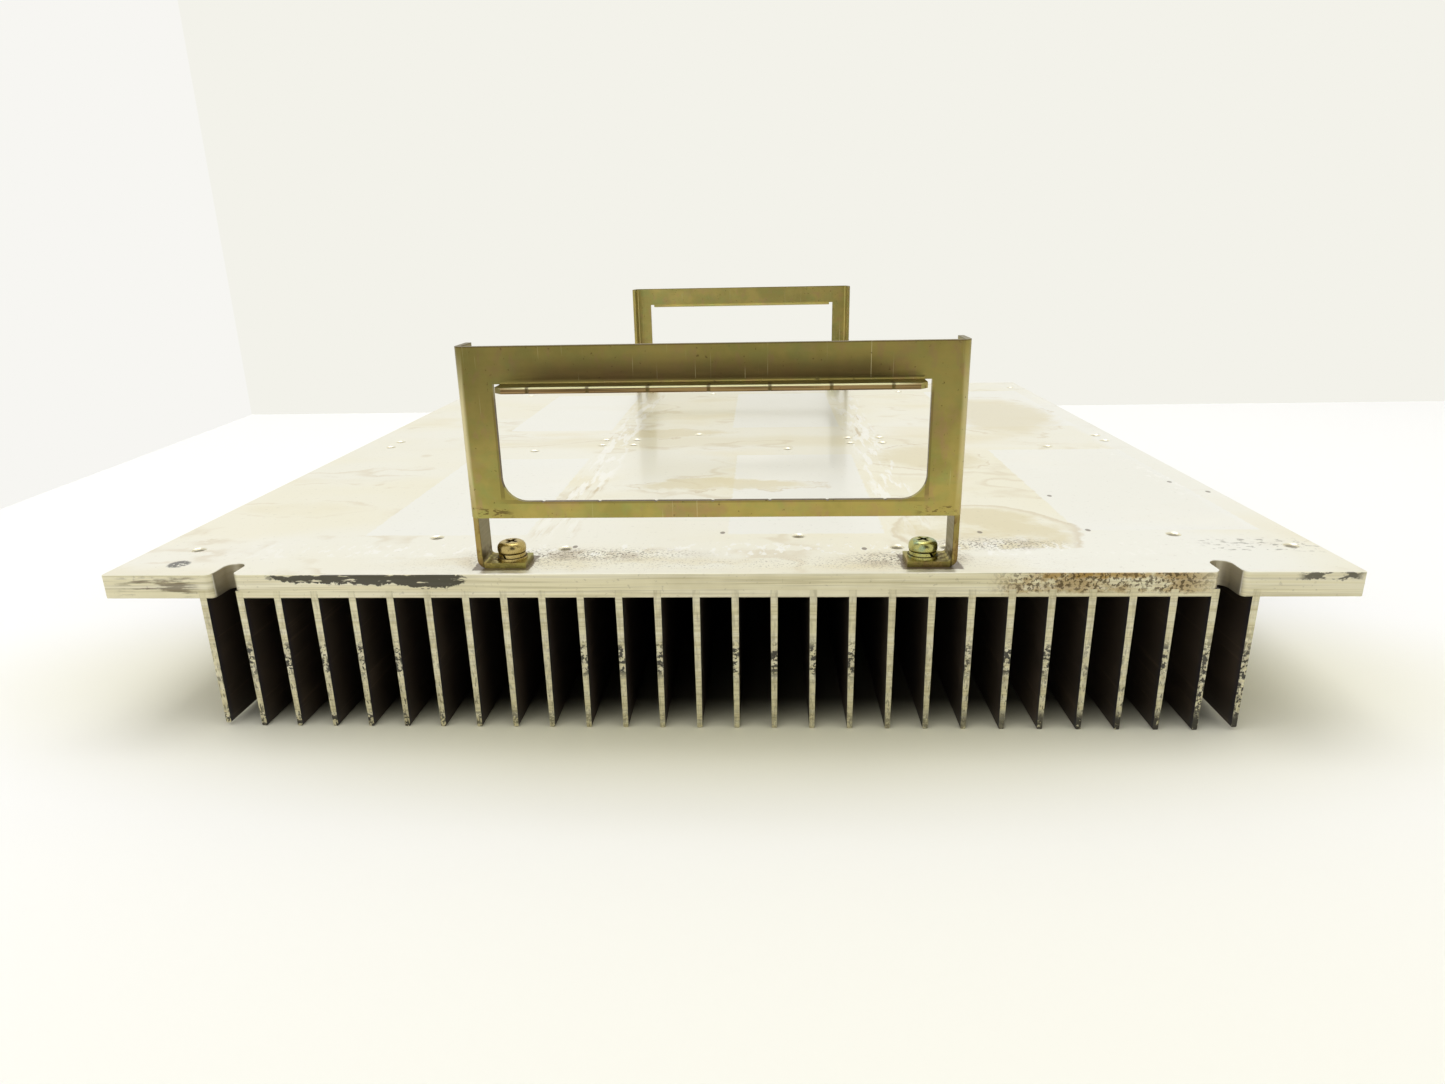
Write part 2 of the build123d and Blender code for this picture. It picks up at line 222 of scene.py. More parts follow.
# Milled aluminium plate, wiped but not clean: pale satin metal that mirrors softly at a low angle,
# clouded by a dried film of thermal grease, with cleaner rectangles where the modules sat.
plateFinish = {
    "metal": "#F4F2E8",
    "cleanMetal": "#F6F6F3",
    "film": "#F3EED8",
    "stain": "#E0D4AC",
    "ring": "#C4AC78",
    "paste": "#FDFCF8",
    # grime, also used for the painted shadow round the handles' feet
    "grimeAndShadow": "#5E4A32",
    "dirtWash": "#A8926A",
    "sawnEdge": "#E2DBBA",
    "sawLine": "#B4AA84",
    # painted highlight along the chamfered edges
    "chamferHighlight": "#F6F3E6",
    "notchWall": "#B9B09A",
    "notchShade": "#7C7056",
    "bore": "#D8D3C4",
    "ink": "#3C3A2F",
    "goldGrease": "#AC862C",
    "burntGrease": "#4E3A1A",
    "shader": {"Coat Weight": 0.4, "Coat Roughness": 0.1, "Coat IOR": 1.47},
    "topDepth": 0.03,
    "chamferDepth": 0.22,
    "metallic": (0.85, [(0.0, "inside & no notchWall & no onTop", 1.0)]),
    "roughness": (
        0.40,
        [
            (0.34, "footprint & onTop", 0.6),
            (0.56, "stain", 0.6),
            (0.50, "no onTop", 1.0),
            (0.75, "smear & smearBreak & no onTop", 0.9),
            (0.75, "burntArea & burntPatch & no onTop", 0.9),
            (0.8, "feet & speck & onTop", 0.9),
            (0.34, "overChamfer & no onTop", 1.0),
        ],
    ),
    "reliefDepth": 0.07,
    "relief": (
        0.5,
        [
            (0.0, "sawLines & no onTop", 0.4),
            (1.0, "thickPaste & onTop", 1.0),
            (0.0, "pits & onTop", 1.0),
            (1.0, "burntArea & burntPatch & no onTop", 0.6),
        ],
    ),
    # uneven places by patch size and push: torn over centimetres as wiped grease is, frayed over millimetres
    "places": {"torn": (14.0, 9.0), "frayed": (2.6, 2.2), "runny": (30.0, 34.0), "tattered": (2.2, 3.6)},
    "clouds": {
        **sawnClouds,
        "film": ("torn", dict(size=75.0, low=0.36, high=0.64, stretch=(1.5, 1, 1), detail=2.0)),
        "stain": ("torn", dict(size=46.0, low=0.52, high=0.70, stretch=(1.7, 1, 1), shift=3.1, detail=2.5)),
        "tideStart": ("torn", dict(size=46.0, low=0.505, high=0.525, stretch=(1.7, 1, 1), shift=3.1, detail=2.5)),
        "tideEnd": ("torn", dict(size=46.0, low=0.525, high=0.56, stretch=(1.7, 1, 1), shift=3.1, detail=2.5)),
        "tideBreak": ("plain", dict(size=30.0, low=0.45, high=0.6, shift=8.0)),
        "seamPart": ("plain", dict(size=60.0, low=0.44, high=0.58, shift=4.4)),
        "seamStreak": ("plain", dict(size=2.4, low=0.52, high=0.64, stretch=(1, 12, 1), shift=7.0)),
        "seamPaste": ("plain", dict(size=3.4, low=0.50, high=0.57, stretch=(1, 7, 1), shift=1.7)),
        "beads": ("plain", dict(size=2.4, low=0.55, high=0.61, stretch=(1, 2, 1), shift=5.0)),
        "poolTone": ("torn", dict(size=18.0, low=0.34, high=0.58, shift=14.0)),
        "scribble": ("plain", dict(size=1.6, low=0.56, high=0.61, stretch=(1.6, 1, 1), shift=13.0, detail=5.0)),
        "spillBreak": ("plain", dict(size=18.0, low=0.46, high=0.56, shift=6.0)),
        "speck": ("plain", dict(size=0.8, low=0.52, high=0.60, detail=2.0)),
        "feetWash": ("plain", dict(size=9.0, low=0.42, high=0.62, shift=1.0)),
        "slantBreak": ("plain", dict(size=1.3, low=0.34, high=0.44)),
        "marginWash": ("plain", dict(size=16.0, low=0.44, high=0.62, stretch=(2.2, 1, 1), shift=11.0)),
        "marginSpeck": ("plain", dict(size=0.7, low=0.58, high=0.64, shift=7.5, detail=2.0)),
        "fineDust": ("plain", dict(size=1.6, low=0.64, high=0.7, detail=2.0)),
        "smearBreak": ("plain", dict(size=1.1, low=0.38, high=0.44, stretch=(6, 1, 1), shift=2.0)),
        "burntPatch": ("plain", dict(size=7.0, low=0.42, high=0.54, stretch=(1.4, 1, 1), shift=9.0, detail=5.0)),
        "burntTone": ("plain", dict(size=10.0, low=0.34, high=0.50, shift=9.5, detail=5.0)),
        "burntGrain": ("plain", dict(size=1.0, low=0.50, high=0.55, shift=3.0)),
        "burntTopBreak": ("plain", dict(size=5.0, low=0.36, high=0.52, stretch=(1.5, 1, 1), shift=17.0)),
        "cornerBreak": ("plain", dict(size=2.5, low=0.45, high=0.52, stretch=(2.5, 1, 1), shift=4.0)),
        "smudgeBreak": ("plain", dict(size=0.9, low=0.44, high=0.58, stretch=(10, 1, 1), shift=6.0)),
        "edgeSpecks": ("plain", dict(size=1.1, low=0.64, high=0.70, shift=15.0, detail=3.0)),
    },
    # each shape: the place it is drawn on, its outline, the fade at its edge, its centres and half sizes
    "shapes": {
        "footprint": (
            "frayed",
            block,
            0.03,
            onPlate(
                5.0,
                (-84.5, -86, 25.5, 54),
                (26, -84, 24, 56),
                (134, -80, 27, 58),
                (-84.5, 84, 25, 56),
                (24, 86, 26, 54),
                (134, 84, 27, 56),
            ),
        ),
        # squeezed-out grease along the gaps between the columns and between the rows
        "seam": ("torn", block, 0.5, onPlate(12.0, (-51.5, 0, 8.0, 168.0), (58.5, 0, 8.0, 168.0))),
        "rowGap": ("torn", block, 0.7, onPlate(14.0, (0, 0, 165.0, 16.0))),
        "sideBand": ("torn", block, 0.5, onPlate(9.0, (158.0, -60.0, 5.0, 50.0))),
        "frontBand": ("torn", block, 0.5, onPlate(9.0, (0.0, -154.0, 165.0, 7.0))),
        # a half-wiped pool with a brown tide line, in front on the right
        "poolSide": ("torn", block, 0.05, onPlate(9.0, (80.0, -124.0, 60.0, 31.0))),
        "pool": ("torn", blot, 0.25, onPlate(30.0, (80.0, -138.0, 28.0, 31.0))),
        "poolRim": ("torn", blot, 0.05, onPlate(30.0, (80.0, -138.0, 28.0, 31.0))),
        "poolInside": ("torn", blot, 0.10, onPlate(30.0, (80.0, -138.0, 26.6, 29.6))),
        "wiped": ("torn", blot, 0.5, onPlate(30.0, (118.0, -158.0, 62.0, 34.0))),
        "rightMargin": ("torn", block, 0.5, onPlate(9.0, (166.0, 0.0, 10.0, 176.0))),
        "scribbleArea": ("torn", block, 0.4, onPlate(9.0, (153.0, -151.0, 18.0, 7.0))),
        "spills": ("runny", blot, 0.4, onPlate(30.0, *spillSpots)),
        "spillRims": ("runny", blot, 0.05, onPlate(30.0, *spillSpots)),
        "spillInsides": ("runny", blot, 0.08, onPlate(30.0, *[(x, y, a - 1.2, b - 1.2) for x, y, a, b in spillSpots])),
        # speckled grime round the feet, trailing to the right of the left one
        "feet": (
            "plain",
            blot,
            0.8,
            onPlate(
                8,
                (-57, -163, 17, 10),
                (-38, -158, 44, 8),
                (50, -163, 20, 9),
                (62, -161, 11, 11),
                (80, -150, 25, 8),
            ),
        ),
        # grime and painted shadow: a thin dark rim on the plate round each handle's foot
        "footGrimeAndShadow": ("frayed", block, 0.08, onPlate(5.0, (-58.4, -165.0, 8.3, 6.6), (58.4, -165.0, 8.3, 6.6))),
        "pits": (
            "plain",
            blot,
            0.3,
            onPlate(
                3,
                (110.4, plateFront + 37.0, 0.9, 1.4),
                (158.4, plateFront + 94.7, 0.9, 1.4),
                (165.5, plateFront + 80.7, 0.9, 1.4),
                (110.8, plateFront + 76.7, 0.9, 1.4),
                (78.0, plateFront + 35.4, 0.9, 1.4),
                (42.0, plateFront + 20.3, 0.9, 1.4),
                (0.8, plateFront + 36.2, 0.9, 1.4),
                (-41.9, plateFront + 23.1, 0.9, 1.4),
            ),
        ),
        "slantedSpot": ("frayed", blot, 0.3, onPlate(4, (-152.4, plateFront + 8.8, 3.4, 3.4))),
        "marginBand": ("torn", block, 0.8, onPlate(9.0, (0.0, -166.0, 118.0, 7.0))),
        "smear": (
            "tattered",
            blot,
            0.10,
            onEdge(6.0, (-103.0, 0.9, 20.0, 1.9), (-94.0, 1.0, 9.0, 2.4), (-78.0, 1.6, 11.0, 2.6)),
        ),
        "burntArea": ("tattered", block, 0.4, onEdge(5.0, (103.0, 2.4, 32.0, 3.9))),
        "burntTopArea": ("tattered", block, 0.5, onEdge(5.0, (103.0, 0.4, 24.0, 1.7))),
        "cornerArea": ("tattered", block, 0.3, onEdge(4.0, (160.0, 1.2, 9.0, 1.2))),
        "smudgeArea": ("torn", block, 0.6, onEdge(8.0, (-153.0, 3.4, 13.0, 2.8))),
        "notchWall": (
            "plain",
            block,
            0.03,
            onPlate(20.0, *[(x, end * (plateRear - 5.2), 3.1, 4.2) for x, end in notchSpots]),
        ),
        "notchMouth": (
            "plain",
            blot,
            0.9,
            [((x, end * (plateRear - 1.0), plateFloor + 2.0), (5.0, 3.4, 6.0)) for x, end in notchSpots],
        ),
        "inside": (
            "plain",
            block,
            0.0001,
            [((0, 0, plateMiddle), (plateSide - 1, plateRear - 1, plateHalf - 0.4))],
        ),
    },
    "unions": {
        "bareMargin": ["wiped", "rightMargin"],
        "thickPaste": ["seam & seamPaste", "sideBand & beads", "frontBand & beads"],
    },
    "topLayers": [
        ("film", "film", 0.75),
        ("stain", "stain", 0.35),
        ("stain", "rowGap", 0.30),
        ("cleanMetal", "footprint", 0.80),
        ("ring", "tideStart & no tideEnd & tideBreak & no footprint", 0.30),
        ("cleanMetal", "bareMargin", 0.75),
        ("stain", "poolSide & pool & poolTone", 0.75),
        ("ring", "poolSide & poolRim & no poolInside", 0.40),
        ("burntGrease", "scribbleArea & scribble", 0.55),
        ("stain", "spills", 0.65),
        ("ring", "spillRims & no spillInsides & spillBreak", 0.40),
        ("ring", "seam & seamStreak & seamPart", 0.70),
        ("paste", "seam & seamPaste", 0.75),
        ("paste", "sideBand & beads", 0.9),
        ("paste", "frontBand & beads", 0.8),
        ("stain", "marginBand & marginWash", 0.50),
        ("grimeAndShadow", "marginBand & marginSpeck", 0.45),
        ("dirtWash", "feet & feetWash", 0.55),
        ("grimeAndShadow", "feet & speck", 0.75),
        # grime and painted shadow round the feet
        ("grimeAndShadow", "footGrimeAndShadow", 0.85),
        ("grimeAndShadow", "fineDust", 0.10),
        ("grimeAndShadow", "pits", 0.8),
        ("ink", "slantedSpot & slantBreak", 0.9),
    ],
    "edgeLayers": [
        ("burntGrease", "smudgeArea & smudgeBreak", 0.70),
        ("burntGrease", "edgeSpecks", 0.20),
        ("goldGrease", "burntArea & burntPatch", 0.50),
        ("goldGrease", "burntTopArea & burntTopBreak", 0.75),
        ("burntGrease", "burntArea & burntTone & burntGrain", 0.80),
        ("ink", "smear & smearBreak", 0.90),
        ("ink", "cornerArea & cornerBreak", 0.85),
        ("notchShade", "notchMouth", 0.55),
        ("notchWall", "notchWall", 0.85),
        ("bore", "inside & no notchWall", 0.95),
        # painted highlight: the chamfers round the plate's top are drawn lighter
        ("chamferHighlight", "overChamfer & no onTop", 0.8),
    ],
}


def makePlateMaterial(finish):
    material = bpy.data.materials.new("milledAluminium")
    tree = emptyTree(material)
    plain = inMillimetres(tree)
    rise = addNode(tree, "ShaderNodeSeparateXYZ", {0: plain}).outputs[2]
    places = {name: ragged(tree, plain, *values) for name, values in finish["places"].items()}
    masks = {
        "onTop": joined(tree, "GREATER_THAN", [rise, plateTop - finish["topDepth"]]),
        "overChamfer": joined(tree, "GREATER_THAN", [rise, plateTop - finish["chamferDepth"]]),
    }
    drawMasks(tree, finish, {"plain": plain, **places}, masks)
    top = layered(tree, masks, finish, toLinear(finish["metal"]), finish["topLayers"])
    sawn = layered(tree, masks, finish, toLinear(finish["sawnEdge"]), sawnLayers)
    edge = layered(tree, masks, finish, sawn, finish["edgeLayers"])
    shown = addNode(tree, "ShaderNodeMix", {0: masks["onTop"], 6: edge, 7: top}, data_type="RGBA").outputs[2]
    finishMaterial(material, masks, finish, shown)
    return material


dress(["base_plate"], makePlateMaterial(plateFinish))
print("plate finished")

# Fins sheared from black anodised aluminium: dull near-black faces with handling dust,
# bare cut ends sawn flush with the plate, with black burrs and specks along them.
finFinish = {
    "anodised": "#372E25",
    "dust": "#5F5040",
    "edgeTint": "#1B2030",
    "sawnEdge": "#DBD4B2",
    "sawLine": "#B4AA84",
    "metal": "#ECEAE0",
    "cutShade": "#9C9478",
    "speck": "#15110D",
    "shader": {"IOR": 1.5},
    "metallic": (0.0, [(0.85, "cutEnd & no endSpecks", 1.0)]),
    "roughness": (0.5, [(0.62, "dust", 0.6), (0.5, "cutEnd", 1.0)]),
    "reliefDepth": 0.04,
    "relief": (
        0.5,
        [(0.0, "rub", 1.0), (0.0, "endSpecks & cutEnd", 0.8), (1.0, "shearTone & cutEnd", 0.4)],
    ),
    "tornEnd": (1.6, 1.1),
    "cutDepth": 0.03,
    # ramps by distance from the end face, by height and by distance from the middle of the plate
    "nearEnd": {"From Min": plateRear - 2.2, "From Max": plateRear - 0.6},
    "lowHalf": {"From Min": 38.0, "From Max": 0.0},
    "towardSides": {"From Min": 10.0, "From Max": 90.0, "To Min": 0.25, "To Max": 1.0},
    "rightwards": {"From Min": 30.0, "From Max": 95.0},
    "clouds": {
        **sawnClouds,
        "dust": ("plain", dict(size=16.0, low=0.44, high=0.7, stretch=(1, 2.5, 1))),
        "rub": ("plain", dict(size=1.2, low=0.60, high=0.72, stretch=(1, 40, 1), detail=2.0)),
        "shearTone": ("plain", dict(size=2.0, low=0.45, high=0.68, stretch=(0.6, 1, 3), detail=3.0)),
        "perFin": ("plain", dict(size=7.0, low=0.44, high=0.50, stretch=(1, 50, 50), shift=3.3, detail=0.0)),
        "sideBreak": ("plain", dict(size=1.2, low=0.48, high=0.53, detail=3.0)),
        "chips": ("plain", dict(size=1.0, low=0.50, high=0.53, stretch=(1.1, 1, 0.9), shift=2.0, detail=3.0)),
        "burrs": ("plain", dict(size=0.9, low=0.57, high=0.61, stretch=(0.6, 1, 2.4), shift=6.0, detail=2.0)),
        "tipBreak": ("plain", dict(size=1.1, low=0.36, high=0.45, shift=8.0, detail=3.0)),
    },
    "shapes": {
        "midBand": ("tornEnd", block, 0.6, [((0, 0, 21.0), (400, 400, 7.0))]),
        "tipBand": ("tornEnd", block, 0.6, [((0, 0, 0.0), (400, 400, 7.0))]),
        "sideBand": ("tornEnd", block, 0.5, [((140, 0, 12.0), (16, 400, 19.0))]),
        "tipArea": ("tornEnd", block, 0.5, [((0, 0, 0.0), (400, 400, 6.5))]),
    },
    # chips sit at mid-height on some fins and at the tip of nearly all, more of them towards the right
    "unions": {
        "endSpecks": [
            "midBand & chips & perFin",
            "tipBand & chips & towardSides",
            "sideBand & sideBreak",
            "burrs & lowHalf & towardSides",
            "tipArea & tipBreak & rightwards",
        ],
    },
    "faceLayers": [("dust", "dust & lowHalf", 0.5), ("dust", "rub", 0.35), ("edgeTint", "nearEnd", 0.6)],
    "endLayers": [("cutShade", "shearTone", 0.45), ("speck", "endSpecks", 0.95)],
}


def makeFinMaterial(finish):
    material = bpy.data.materials.new("blackAnodisedFin")
    tree = emptyTree(material)
    plain = inMillimetres(tree)
    across, along, rise = addNode(tree, "ShaderNodeSeparateXYZ", {0: plain}).outputs
    fromMiddle = addNode(tree, "ShaderNodeMath", {0: across}, operation="ABSOLUTE").outputs[0]
    toEnd = addNode(tree, "ShaderNodeMath", {0: along}, operation="ABSOLUTE").outputs[0]
    masks = {"cutEnd": joined(tree, "GREATER_THAN", [toEnd, plateRear - finish["cutDepth"]])}
    ramps = {"nearEnd": toEnd, "lowHalf": rise, "towardSides": fromMiddle, "rightwards": across}
    for name, value in ramps.items():
        masks[name] = addNode(tree, "ShaderNodeMapRange", {"Value": value, **finish[name]}).outputs[0]
    drawMasks(tree, finish, {"plain": plain, "tornEnd": ragged(tree, plain, *finish["tornEnd"])}, masks)
    face = layered(tree, masks, finish, toLinear(finish["anodised"]), finish["faceLayers"])
    sawn = layered(tree, masks, finish, toLinear(finish["sawnEdge"]), sawnLayers)
    end = layered(tree, masks, finish, sawn, finish["endLayers"])
    shown = addNode(tree, "ShaderNodeMix", {0: masks["cutEnd"], 6: face, 7: end}, data_type="RGBA").outputs[2]
    finishMaterial(material, masks, finish, shown)
    return material


finNames = sorted(name for name in nodes if name.startswith("fin_"))
dress(finNames, makeFinMaterial(finFinish))
print("fins finished:", len(finNames))

# Zinc-plated steel sheet with a yellow chromate passivation: olive-gold metal whose thin film
# turns pink, green or brown by its thickness, with fine drawing scratches. Both handles face
# outwards, so the pattern is laid out by the distance from the middle.
sheetFinish = {
    "gold": "#B3A25A",
    "olive": "#938C4A",
    "pink": "#B08A66",
    "green": "#86A05C",
    # pale colour of the scratches, also used for painted highlights
    "paleAndHighlight": "#DCD0A0",
    "brown": "#54412A",
    "shade": "#5F5530",
    "cutEdge": "#7A5F3A",
    # painted highlight along the lip's top edge
    "lipHighlight": "#FBF9C4",
    "shader": {},
    # the painted highlight strip on the lip is not metallic
    "metallic": (1.0, [(0.0, "lipHighlightStrip", 1.0)]),
    "roughness": (
        0.33,
        [(0.43, "grain", 0.7), (0.26, "scratch", 0.8), (0.6, "spots", 0.8), (0.65, "footArea & footBreak", 0.8)],
    ),
    "reliefDepth": 0.02,
    "relief": (0.5, [(0.7, "grain", 0.5), (0.0, "scratch", 0.8)]),
    "topLineRise": 59.7,
    "lipFaceAt": 178.9,
    "nibblePitch": 7.5,
    # ramps by height over the plate and across it; the painted shade above the lip fades upwards from its fold
    "topShade": {"From Min": 14.0, "From Max": 52.0},
    "bandRise": {"From Min": 59.0, "From Max": 52.5},
    "shadeSide": {"From Min": 60.0, "From Max": -60.0, "To Min": 0.55, "To Max": 1.15},
    "nibbleLine": {"From Min": 0.6, "From Max": 0.25},
    "clouds": {
        "olive": ("plain", dict(size=16.0, low=0.40, high=0.62)),
        "pink": ("plain", dict(size=10.0, low=0.52, high=0.70, shift=4.0)),
        "green": ("plain", dict(size=13.0, low=0.54, high=0.70, shift=9.0)),
        # 0.1 mm scratches, drawn 0.5 mm wide, and the rolling grain along the sheet
        "scratch": ("plain", dict(size=0.5, low=0.67, high=0.74, stretch=(1, 1, 60), shift=3.0, detail=2.0)),
        "grain": ("plain", dict(size=0.7, low=0.35, high=0.65, stretch=(14, 14, 1), detail=3.0)),
        "spots": ("plain", dict(size=1.2, low=0.67, high=0.72, shift=12.0, detail=2.0)),
        "mottle": ("plain", dict(size=4.0, low=0.46, high=0.60, stretch=(1.6, 1, 1), shift=16.0, detail=5.0)),
        "mottlePink": ("plain", dict(size=3.2, low=0.54, high=0.66, stretch=(1, 1, 2), shift=21.0, detail=5.0)),
        "legBreak": ("plain", dict(size=2.4, low=0.44, high=0.58, stretch=(1, 1, 2), shift=19.0)),
        "lipLine": ("plain", dict(size=0.45, low=0.42, high=0.56, stretch=(90, 1, 1), shift=2.0, detail=2.0)),
        "scuffBreak": ("plain", dict(size=0.9, low=0.52, high=0.58, stretch=(2.5, 1, 1), shift=8.0)),
        "footBreak": ("plain", dict(size=1.4, low=0.42, high=0.54, shift=5.0)),
    },
    "shapes": {
        # painted highlight along the outer folds of the handles
        "outerFold": ("mirrored", block, 0.8, [((64.4, 172.0, plateTop + 37.0), (1.7, 3.0, 24.0))]),
        "legArea": ("mirrored", block, 0.2, [((65.0, 166.0, plateTop + 6.0), (1.6, 8.0, 8.5))]),
        "lipFront": ("mirrored", block, 0.1, [((0, 177.0, plateTop + 50.0), (54.0, 3.0, 1.6))]),
        # painted shade in the crease above the lip
        "bandArea": ("mirrored", block, 0.3, [((0, 173, plateTop + 55), (55.0, 1.4, 4.6))]),
        "windowRim": (
            "mirrored",
            block,
            0.3,
            [((0, 171.3, plateTop + 19.5), (60.0, 0.8, 0.6)), ((55.5, 171.3, plateTop + 34), (0.6, 0.8, 15.0))],
        ),
        "panelFloor": ("mirrored", block, 0.05, [((0, 171.25, plateTop + 15.0), (60.0, 0.62, 0.25))]),
        # painted highlight: the strip along the lip's top edge
        "lipHighlightStrip": ("mirrored", block, 0.2, [((0, 178.8, plateTop + 50.6), (54.0, 0.6, 0.45))]),
        "lowerFold": ("mirrored", block, 0.2, [((64.5, 165.0, plateTop + 6.0), (1.2, 6.0, 9.5))]),
        "innerLeg": ("mirrored", block, 0.1, [((63.4, 165.0, plateTop + 8.0), (0.25, 6.0, 9.0))]),
        "scuffArea": ("mirrored", block, 0.6, [((58.5, 172.0, plateTop + 16.4), (6.5, 1.0, 1.8))]),
        "footArea": ("mirrored", block, 0.8, [((59.0, 165.0, plateTop + 2.0), (8.0, 7.0, 4.0))]),
    },
    "unions": {"windowEdge": ["windowRim", "panelFloor"]},
    "layers": [
        ("olive", "olive", 0.65),
        ("pink", "pink", 0.45),
        ("green", "green", 0.35),
        ("green", "mottle", 0.16),
        ("pink", "mottlePink", 0.40),
        ("shade", "topShade & frontHandle & shadeSide", 0.58),
        # painted light: the rear handle, seen from its inner side, is drawn paler
        ("paleAndHighlight", "no frontHandle", 0.10),
        # painted highlight on the outer folds, stronger to the left
        ("paleAndHighlight", "outerFold & shadeSide", 0.80),
        ("cutEdge", "legArea & legBreak", 0.70),
        # painted shade above the lip's fold, darkest at the fold
        ("brown", "bandRise & bandArea", 0.75),
        ("brown", "topLine", 0.5),
        ("brown", "windowEdge", 0.95),
        ("paleAndHighlight", "scratch", 0.60),
        ("brown", "spots", 0.55),
        ("cutEdge", "lowerFold", 0.35),
        ("shade", "innerLeg", 0.75),
        ("brown", "scuffArea & scuffBreak", 0.7),
        ("brown", "footArea & footBreak", 0.75),
        ("pink", "lipFace", 0.5),
        ("brown", "lipFace & lipLine", 0.8),
        # painted highlight: a pale, non-metallic strip along the lip's top edge
        ("lipHighlight", "lipHighlightStrip", 0.95),
        ("brown", "lipFront & nibbleLine", 0.75),
    ],
}


def makeSheetMaterial(finish):
    material = bpy.data.materials.new("yellowZincSheet")
    tree = emptyTree(material)
    plain = inMillimetres(tree)
    mirrored = addNode(tree, "ShaderNodeVectorMath", {0: plain}, operation="ABSOLUTE").outputs[0]
    outward, up = addNode(tree, "ShaderNodeSeparateXYZ", {0: mirrored}).outputs[1:]
    across, along = addNode(tree, "ShaderNodeSeparateXYZ", {0: plain}).outputs[:2]
    rise = joined(tree, "SUBTRACT", [up, plateTop])
    nibble = joined(tree, "PINGPONG", [across, finish["nibblePitch"]])
    masks = {
        "frontHandle": joined(tree, "LESS_THAN", [along, 0.0]),
        "topLine": joined(tree, "GREATER_THAN", [rise, finish["topLineRise"]]),
        "lipFace": joined(tree, "GREATER_THAN", [outward, finish["lipFaceAt"]]),
    }
    ramps = {
        "topShade": (rise, "SMOOTHSTEP"),
        "bandRise": (rise, "SMOOTHSTEP"),
        "shadeSide": (across, "LINEAR"),
        "nibbleLine": (nibble, "LINEAR"),
    }
    for name, (value, fade) in ramps.items():
        inputs = {"Value": value, **finish[name]}
        masks[name] = addNode(tree, "ShaderNodeMapRange", inputs, interpolation_type=fade).outputs[0]
    drawMasks(tree, finish, {"plain": plain, "mirrored": mirrored}, masks)
    colour = layered(tree, masks, finish, toLinear(finish["gold"]), finish["layers"])
    finishMaterial(material, masks, finish, colour)
    return material


dress(["front_handle", "rear_handle"], makeSheetMaterial(sheetFinish))
print("handles finished")

# The same yellow-chromated zinc on cold-formed steel, glossier where the head was struck smooth.
fastenerFinish = {
    "brass": "#B9A56A",
    "greenish": "#B6B670",
    "teal": "#83A391",
    "dark": "#3A2C18",
    "shader": {},
    "metallic": (1.0, []),
    "roughness": (0.27, [(0.45, "wear", 0.7), (0.6, "washerGapShade", 1.0)]),
    "reliefDepth": 0.02,
    "relief": (0.0, [(1.0, "wear", 1.0)]),
    "clouds": {
        "teal": ("plain", dict(size=3.0, low=0.48, high=0.64)),
        "wear": ("plain", dict(size=0.8, low=0.55, high=0.68, detail=3.0)),
    },
    "shapes": {
        # painted shade in the cross recesses of the heads
        "recess": (
            "plain",
            block,
            0.05,
            [((x, y, plateTop + 5.4), (2.3, 2.3, 0.75)) for x in (-56.5, 56.5) for y in (-165.0, 165.0)],
        ),
        # painted shade at the joins between the washers and the screw heads
        "washerGapShade": ("plain", block, 0.4, [((0, 0, plateTop + rise), (400, 400, 0.1)) for rise in (2.35, 3.42)]),
    },
    "unions": {},
    "layers": [
        ("greenish", "rightSide", 0.8),
        ("teal", "rightSide & teal", 0.6),
        ("dark", "wear", 0.2),
        # painted shade in the cross recesses and at the washer joins
        ("dark", "recess", 0.7),
        ("dark", "washerGapShade", 0.8),
    ],
}


def makeFastenerMaterial(finish):
    material = bpy.data.materials.new("yellowZincSteel")
    tree = emptyTree(material)
    plain = inMillimetres(tree)
    across = addNode(tree, "ShaderNodeSeparateXYZ", {0: plain}).outputs[0]
    masks = drawMasks(tree, finish, {"plain": plain}, {"rightSide": joined(tree, "GREATER_THAN", [across, 0.0])})
    colour = layered(tree, masks, finish, toLinear(finish["brass"]), finish["layers"])
    finishMaterial(material, masks, finish, colour)
    return material


fastenerMaterial = makeFastenerMaterial(fastenerFinish)
fastenerNames = sorted(name for name in nodes if name.endswith(("_screw", "_washer")))
dress(fastenerNames, fastenerMaterial)
print("fasteners finished:", len(fastenerNames))

# Pan-head screws with a cross recess, rounded above and below as a cold-headed blank is
screwShape = {
    "headRadius": 0.0039,
    "headHeight": 0.0031,
    "crown": 0.0017,
    "crownSteps": 6,
    "underRound": 0.0006,
    "crossLength": 0.0044,
    "crossWidth": 0.0011,
    "crossDepth": 0.0018,
    "crossLift": 0.0003,
    "crossNarrowing": (0.55, 0.8, 1),
    "tipNarrowing": (0.6, 0.6, 1),
    "coreRadius": 0.00158,
    "threadRadius": 0.0019,
    "threadPitch": 0.0007,
    "pointLength": 0.0008,
    "corners": 40,
    "tiny": 1e-6,
    "smoothAngle": 38,
    "headTurns": {"front_left_screw": 24, "front_right_screw": -31, "rear_left_screw": 58, "rear_right_screw": 8},
}


def pick(piece, part, test):  # in edit mode, selects only the faces or the edges that pass the test
    bpy.ops.mesh.select_mode(type=part)
    bpy.ops.mesh.select_all(action="DESELECT")
    bpy.ops.object.mode_set(mode="OBJECT")
    mesh = piece.data
    if part == "FACE":
        for face in mesh.polygons:
            face.select = test(face.center, face.normal)
    else:
        for edge in mesh.edges:
            ends = [mesh.vertices[i].co for i in edge.vertices]
            edge.select = test(ends[0], ends[1])
    bpy.ops.object.mode_set(mode="EDIT")


